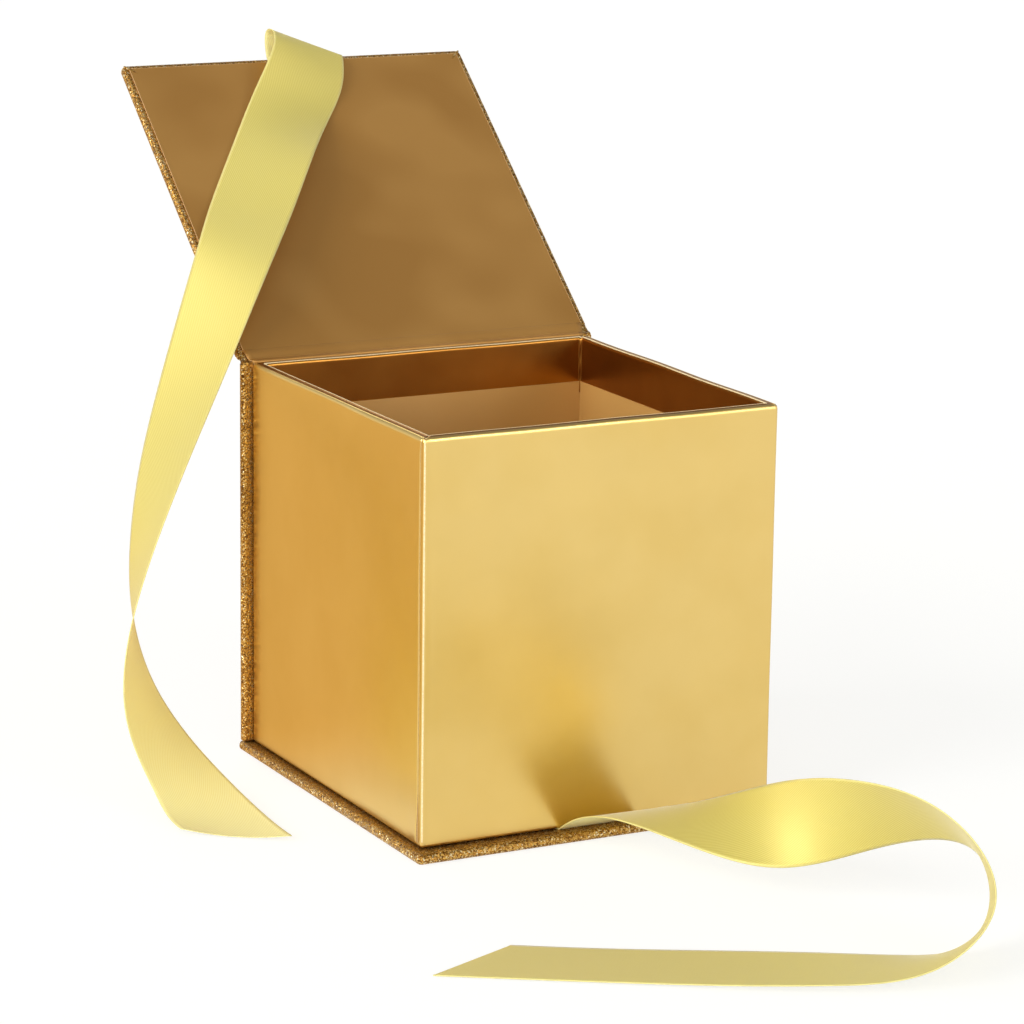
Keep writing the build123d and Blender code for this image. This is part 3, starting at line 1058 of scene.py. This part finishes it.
@dataclass
class Tray:
    """The tray: five boards and their stays, foil paper outside and matt lining inside."""

    half_depth: float = 50.5
    paper: float = 0.16
    wall: float = 2.7
    corner_radius: float = 0.8
    inner_radius: float = 0.7
    bottom_turn_in: float = 15.0
    rim_turn_in: float = 15.0
    rim_drop: float = 1.25
    rim_width: float = 0.6
    rim_groove: float = 0.14
    inner_drop: float = 0.9
    foot_radius: float = 0.8
    mid_height: float = 60.0
    lap: float = 1.0
    lap_top: float = 102.6
    lap_lift: float = 0.45
    lap_pull: float = 0.55
    pleat: float = 0.45
    bulge: float = 0.05
    crease: float = 0.1
    crease_x: float = -47.9
    corner_dip: float = 0.18
    rim_sway: float = 0.1
    side_count: int = 35
    bend_count: int = 13

    def columns(self) -> tuple[Array, Array, Array, Flags]:
        """Lay out the columns of the wrap's grid, going round the tray from its front-left corner.

        Returns:
            Each column's place between the corner middles across and in depth, -1 to 1, the
            direction that its wall faces as an angle, and whether it is past the lap's edge.
        """
        quarter = math.pi / 2
        side = -np.cos(np.linspace(0.0, math.pi, self.side_count))
        bend = np.linspace(0.0, quarter, self.bend_count + 2)[1:-1]
        one, turn = np.ones(len(side)), np.ones(len(bend))
        edge = 1 - self.lap / (self.half_depth - self.corner_radius)
        near = np.array([edge - 2e-4, edge + 2e-4, edge + 0.006, edge + 0.014])
        left = np.unique(np.concatenate([side[side < edge - 0.004], near, [1.0]]))
        across = np.concatenate([
            side, turn, one, turn, -side, -turn, -np.ones(len(left)), -turn,
        ])
        deep = np.concatenate([-one, -turn, side, turn, one, turn, -left, -turn])
        face = np.concatenate([
            -quarter * one, -quarter + bend, 0 * one, bend, quarter * one, quarter + bend,
            np.full(len(left), math.pi), math.pi + bend,
        ])
        past = np.zeros(len(face), dtype=bool)
        past[-len(left) - len(bend):] = np.concatenate([left > edge, turn > 0])
        return across, deep, face, past

    def profile(self) -> tuple[Array, Array]:
        """Draw the wrap's section.

        The section runs in under the tray, up the wall, over the rim by two elliptic quarters
        with a shallow groove between, and down inside as the turn-in.

        Returns:
            Offset out of the wall and height of each point, and the corner's roundness there.
        """
        low, high, foot = SIZES.tray_bottom, SIZES.tray_rim, self.foot_radius
        quarter = np.linspace(0.0, math.pi / 2, 13)
        share = np.linspace(0.0, 1.0, 11)[1:-1]
        flat = self.wall - 2 * self.rim_width
        under = np.linspace(-self.bottom_turn_in, -0.9, 10)
        wall = np.linspace(low + 1.5, high - self.rim_drop - 0.4, 40)
        down = np.linspace(high - 1.2, high - self.rim_turn_in, 24)
        offset = np.concatenate([
            under,
            -foot + foot * np.sin(quarter),
            np.zeros(len(wall)),
            -self.rim_width + self.rim_width * np.cos(quarter),
            -self.rim_width - flat * share,
            -self.wall + self.rim_width - self.rim_width * np.sin(quarter),
            np.full(len(down), -self.wall),
        ])
        height = np.concatenate([
            np.full(len(under), low),
            low + foot - foot * np.cos(quarter),
            wall,
            high - self.rim_drop + self.rim_drop * np.sin(quarter),
            high - self.rim_groove * np.sin(math.pi * share) + self.rim_groove * share ** 2,
            high + self.rim_groove - self.inner_drop + self.inner_drop * np.cos(quarter),
            down,
        ])
        above = height > self.mid_height
        inside = smooth((-offset - 0.6) / 1.5) * above
        radius = self.corner_radius + (self.inner_radius - self.corner_radius) * inside
        radius = np.where(above, radius, np.maximum(self.corner_radius + offset, 0.15))
        return np.stack([offset, height], axis=1), radius

    def wrap_points(
        self, line: Array, radius: Array, across: Array, deep: Array, face: Array, past: Flags,
    ) -> Array:
        """Work out the foil paper's surface, both sides of it.

        A point is a corner middle, scaled by the column's place, plus the roundness along the
        column's facing. The section's offset sets the corner middles. The paper bulges by slow
        sines, dips at the rim's corners, ends on the left wall as a lap over the corner's paper
        that lifts near the foot, and is pleated in the inner corners.

        Args:
            line: the section's offsets and heights.
            radius: the corner's roundness at each point of the section.
            across: each column's place across.
            deep: each column's place in depth.
            face: the direction that each column faces.
            past: whether each column is past the lap's edge.

        Returns:
            The points as columns by points of the section by three.
        """
        rim = SIZES.tray_rim
        way = np.gradient(line, axis=0)
        way /= np.linalg.norm(way, axis=1, keepdims=True)
        under = line - np.stack([way[:, 1], -way[:, 0]], axis=1) * self.paper
        section = np.vstack([line, under[::-1]])
        round_off = np.concatenate([radius, radius[::-1]])[None]
        offset, height = section[:, 0][None], section[:, 1][None]
        across, deep, face = across[:, None], deep[:, None], face[:, None]
        middle_x = SIZES.half_width + offset - round_off
        middle_y = self.half_depth + offset - round_off
        x0, y0 = across * SIZES.half_width, deep * self.half_depth
        outside = (offset > -0.5) & (height > 4.0)
        on_left = face == math.pi
        behind = y0 + self.half_depth - self.lap
        swell = self.bulge * np.sin(x0 / 9.0 + y0 / 11.0 + height / 23.0)
        swell = swell * np.sin(height / 13.0 + x0 / 31.0)
        lift = self.lap_lift * smooth((18.0 - height) / 15.0) * smooth(1 - behind / 5.0)
        doubled = (self.paper + lift) * smooth(2 - behind / 25.0) * (on_left & ~past[:, None])
        crease = self.crease * np.exp(-((x0 - self.crease_x) / 0.35) ** 2) * (deep < -0.99)
        swell = swell - crease + doubled * smooth((rim - height) / 1.5)
        bend = np.sin(2 * face) ** 2
        wavy = 0.7 + 0.3 * np.sin(height * 1.1 + face * 3.0)
        inside = smooth((-offset - self.wall + self.rim_width) / 0.5) * (height > self.mid_height)
        pleats = self.pleat * bend * wavy * inside
        shift = round_off + np.where(outside, swell, 0.0) - pleats
        pull = np.where(behind >= 0, smooth(1 - behind / 4.0), smooth(1 + behind / self.lap))
        curve = smooth((height - self.lap_top) / 1.6) * smooth((rim - height) / 0.5)
        pulled = np.where(outside & on_left, self.lap_pull * pull * curve, 0.0)
        near_rim = smooth((height - 102.0) / 2.5)
        dip = self.corner_dip * bend * near_rim
        sway = self.rim_sway * np.sin(x0 / 7.0 + 1.0) * np.sin(y0 / 8.0 + 0.5) * near_rim
        return np.stack([
            middle_x * across + shift * np.cos(face),
            middle_y * deep + shift * np.sin(face) - pulled,
            height - dip + sway,
        ], axis=-1)

    def wrap_finishes(self, line: Array, face: Array, past: Flags) -> Ints:
        """Choose the finish of each face of the foil paper.

        Faces go column by column, each up the paper's outer side and back along its
        underside. The outer side is foil, with a pale painted highlight along the rim's
        crest and the walls' corners, painted darker inside the rim for the shade there, and
        brown at the step of the lap.

        Args:
            line: the section's offsets and heights.
            face: the direction that each column faces.
            past: whether each column is past the lap's edge.

        Returns:
            The number in WRAP_FINISHES for each face.
        """
        offset, height, rim = line[:-1, 0], line[:-1, 1], SIZES.tray_rim
        crest = (np.abs(offset + self.wall - 0.55) < 0.3) & (height > rim - 0.3)
        wall = (offset > -0.05) & (height > 4.0) & (height < rim - 1.0)
        corner = np.abs(np.sin(2 * face)) > 0.85
        painted_shade_turn_in = (offset < -self.rim_width) & (height > self.mid_height) & ~crest
        outer = np.full((len(face), len(offset)), WRAP_FINISHES.index(FOIL))
        # The crest and the walls' corners take pale paint: a painted highlight of the foil's
        # rounded edges.
        outer[crest | (corner[:, None] & wall)] = WRAP_FINISHES.index(EDGE_PAINTED_HIGHLIGHT)
        # Inside the rim the foil takes its darker copy: painted shade and reflection of the box's
        # inside.
        outer[:, painted_shade_turn_in] = WRAP_FINISHES.index(TURN_IN_PAINTED_SHADE)
        finish = np.full((len(face), 2 * len(line)), WRAP_FINISHES.index(CORE))
        finish[:, :len(offset)] = outer
        finish[~past & np.roll(past, -1)] = WRAP_FINISHES.index(STAY)
        return finish.ravel()

    def build_wrap(self) -> None:
        """Build the foil paper round the tray as one closed sheet."""
        across, deep, face, past = self.columns()
        line, radius = self.profile()
        points = self.wrap_points(line, radius, across, deep, face, past)
        wrap = put_mesh(
            "tray_foil_wrap", points.reshape(-1, 3), loop_faces(*points.shape[:2]),
            [finish.material() for finish in WRAP_FINISHES],
            face_material=self.wrap_finishes(line, face, past),
        )
        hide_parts("tray_wrap")
        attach(wrap, Body.BOX.value)
        log.info("tray_foil_wrap is folded over the rim")

    def dress(self) -> None:
        """Dress the boards, the stays and the linings."""
        boards = ("base", "front", "back", "left", "right")
        dress(tuple(f"tray_{side}_board" for side in boards), BOARD)
        dress(("corner_stays",), STAY)
        # The tray's linings take the paler copy, painted lighter for the light on the inner walls.
        dress(("tray_wall_lining", "tray_floor_lining"), TRAY_MATT_PAINTED_LIGHTER)


@dataclass
class Ties:
    """The two ribbon ties: one glued at the lid's free edge, one under the front of the tray.

    bend_from and bend_to are two points on the lid's axes from the hinge, meant to keep the
    lid's tie out of the lid when it is shut; nothing here uses them.
    """

    bend_from: tuple[float, float, float] = (-52.0, 30.0, 0.0)
    bend_to: tuple[float, float, float] = (-60.0, -72.0, 0.0)

    def lid_tie(self) -> RibbonTie:
        """Return the tie that folds over the lid's free edge, crosses its lining and falls left."""
        lid, beside = Place.LID, Place.BESIDE
        return RibbonTie(
            name="lid_tie",
            stations=(
                Station(lid, 2.6, 102.6, 0.4, -3, 0),
                Station(lid, 2.6, 106.2, 1.9, -22, -7),
                Station(lid, 2.8, 106.0, 4.1, -21, -9),
                Station(lid, 2.6, 103.8, 5.0, -23, -12),
                Station(lid, -6.0, 87.5, 2.2, -29, -8),
                Station(lid, -19.0, 69.0, 4.2, -36, 16),
                Station(lid, -34.5, 45.5, 4.9, -32, 19),
                Station(lid, -44.0, 31.0, 5.6, -50, 23),
                Station(beside, 13.0, 57.0, 97.0, -62, 15),
                Station(beside, 31.5, 38.5, 68.5, -87, 20),
                Station(beside, 37.5, 29.0, 24.5, -136, 7),
                Station(beside, 31.5, 11.5, 6.0, -177, 6),
                Station(beside, 31.0, -15.5, 0.4, -175, 0),
            ),
            start=tuple(SIZES.lid_axes[1]),
            cut_sign=-1.0,
            tab=0.0,
            held="hung",
            rests_on=("lid_lining", "lid_wrap"),
            end_cup=1.2,
        )

    def base_tie(self) -> RibbonTie:
        """Return the tie that comes out under the tray, twists over and lies on the floor."""
        front, lift = Place.FRONT, math.radians(35.0)
        return RibbonTie(
            name="base_tie",
            stations=(
                Station(front, 0.0, 0.0, 2.8, 0, 0),
                Station(front, 2.0, 24.5, 12.5, 13, 0),
                Station(front, 17.0, 51.0, 15.0, 48, 45),
                Station(front, 28.5, 78.5, 24.0, 23, 121),
                Station(front, 39.5, 100.5, 24.5, 29, 141),
                Station(front, 32.5, 121.0, 9.0, 72, 142),
                Station(front, 17.0, 120.5, 3.0, 77, 168),
                Station(front, -2.5, 113.0, 1.8, 62, 179),
                Station(front, -40.5, 89.0, 0.6, 54, 180),
                Station(front, -70.5, 70.0, 0.4, 66, 180),
            ),
            start=(0.0, -math.cos(lift), math.sin(lift)),
            cut_sign=1.0,
            tab=15.0,
            held="laid",
            rests_on=("base_wrap",),
        )

    def build(self) -> None:
        """Build both ties, one hanging from the lid to the floor and one riding on the box."""
        hung = self.lid_tie().dress("lid_ribbon")
        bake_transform(hung)
        laid = self.base_tie().dress("base_ribbon")
        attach(laid, Body.BOX.value)


@dataclass(frozen=True)
class Lamp:
    """A far broad lamp that lights the whole floor alike.

    It hangs toward a direction seen from the box, covers an angle in degrees and gives its
    strength in watts on a square metre.
    """

    name: str
    toward: tuple[float, float, float]
    spread: float
    strength: float


@dataclass
class Studio:
    """The pale floor, the soft lamps, the white surround and the camera."""

    eye: tuple[float, float, float] = (-457.2, -877.1, 305.0)
    look: tuple[float, float, float] = (0.4507, 0.8626, -0.2298)
    roll: float = 0.771
    view_angle: float = 14.67
    floor_size: float = 12000.0
    floor_drop: float = 0.05
    floor_cells: int = 8
    overhead: float = 0.26
    overhead_way: tuple[float, float, float] = (0.0, 0.15, 0.99)
    lamps: tuple[Lamp, ...] = (
        Lamp("key", (-0.9, -0.08, 0.42), 45.0, 2.2),
        Lamp("front", (-0.45, -0.85, 0.28), 44.0, 0.65),
        Lamp("fill", (0.36, -0.91, 0.2), 14.0, 0.45),
        Lamp("top", (0.0, 0.75, 0.66), 40.0, 0.5),
    )

    def build_floor(self) -> None:
        """Lay the floor: a flat grid a hair below the box."""
        cells, row = self.floor_cells, self.floor_cells + 1
        side = np.linspace(-self.floor_size / 2, self.floor_size / 2, row)
        x, y = np.meshgrid(side, side, indexing="ij")
        points = np.stack([x, y, np.full_like(x, -self.floor_drop)], axis=-1).reshape(-1, 3)
        i, j = np.meshgrid(np.arange(cells), np.arange(cells), indexing="ij")
        first = (i * row + j).ravel()
        faces = np.stack([first, first + row, first + row + 1, first + 1], axis=-1)
        put_mesh("floor", points, faces, [FLOOR.material()])

    def pose(self, side: Array, up: Array, back: Array, place: Array) -> list[list[float]]:
        """Work out where an object stands and how it is turned.

        Args:
            side: its own X axis.
            up: its own Y axis.
            back: its own Z axis.
            place: its origin in metres.

        Returns:
            The matrix with these as its columns, laid out as Blender takes it.
        """
        matrix = np.eye(4)
        matrix[:3] = np.stack([side, up, back, place], axis=1)
        return matrix.T.tolist()

    def hang(self, lamp: Lamp) -> None:
        """Hang a lamp.

        Args:
            lamp: where it hangs and how it shines.
        """
        light = bpy.data.lights.new(lamp.name, "SUN")
        light.angle = math.radians(lamp.spread)
        light.energy = lamp.strength
        holder = bpy.data.objects.new(lamp.name, light)
        bpy.context.scene.collection.objects.link(holder)
        back = np.array(lamp.toward) / np.linalg.norm(lamp.toward)
        side = np.cross([0.0, 0.0, 1.0], back)
        side /= np.linalg.norm(side)
        holder.matrix_world = self.pose(side, np.cross(back, side), back, back)

    def build_surround(self) -> None:
        """Make the surround white round the sides and dimmer overhead."""
        world = bpy.data.worlds.new("white_surround")
        world.use_nodes = True
        tree = world.node_tree
        tree.nodes.clear()
        way = add_node(tree, "TexCoord").outputs["Generated"]
        rise = add_node(tree, "VectorMath", {
            0: way, 1: self.overhead_way,
        }, operation="DOT_PRODUCT").outputs["Value"]
        strength = add_node(tree, "MapRange", {
            "Value": rise, "From Min": 0.1, "From Max": 0.6, "To Min": 1.0,
            "To Max": self.overhead,
        }, interpolation_type="SMOOTHSTEP").outputs["Result"]
        light = add_node(tree, "Background", {
            "Color": (1.0, 1.0, 1.0, 1.0), "Strength": strength,
        }).outputs["Background"]
        add_node(tree, "OutputWorld", {"Surface": light})
        bpy.context.scene.world = world

    def build_camera(self) -> None:
        """Place the camera: its right and up are level with the look, then turned by the roll."""
        data = bpy.data.cameras.new("photo_camera")
        data.sensor_fit = "HORIZONTAL"
        data.angle = math.radians(self.view_angle)
        data.clip_start = 0.01
        data.clip_end = 50.0
        camera = bpy.data.objects.new("photo_camera", data)
        bpy.context.scene.collection.objects.link(camera)
        look = np.array(self.look) / np.linalg.norm(self.look)
        level = np.cross(look, [0.0, 0.0, 1.0])
        level /= np.linalg.norm(level)
        upright = np.cross(level, look)
        roll = math.radians(self.roll)
        side = math.cos(roll) * level + math.sin(roll) * upright
        up = -math.sin(roll) * level + math.cos(roll) * upright
        camera.matrix_world = self.pose(side, up, -look, np.array(self.eye) * MM)
        bpy.context.scene.camera = camera

    def build(self) -> None:
        """Set up the floor, the lamps, the surround and the camera."""
        bpy.context.scene.view_settings.view_transform = "Standard"
        self.build_floor()
        for lamp in self.lamps:
            self.hang(lamp)
        self.build_surround()
        self.build_camera()
        log.info("studio is set")


def main() -> None:
    """Build the studio, the ties, the case and the tray."""
    logging.basicConfig(level=logging.INFO, format="%(message)s")
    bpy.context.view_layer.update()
    Studio().build()
    Ties().build()
    case = Case()
    case.build_hinge()
    case.build_lining_edge()
    case.build_folds()
    case.dress()
    tray = Tray()
    tray.build_wrap()
    tray.dress()


if __name__ == "__main__":
    main()
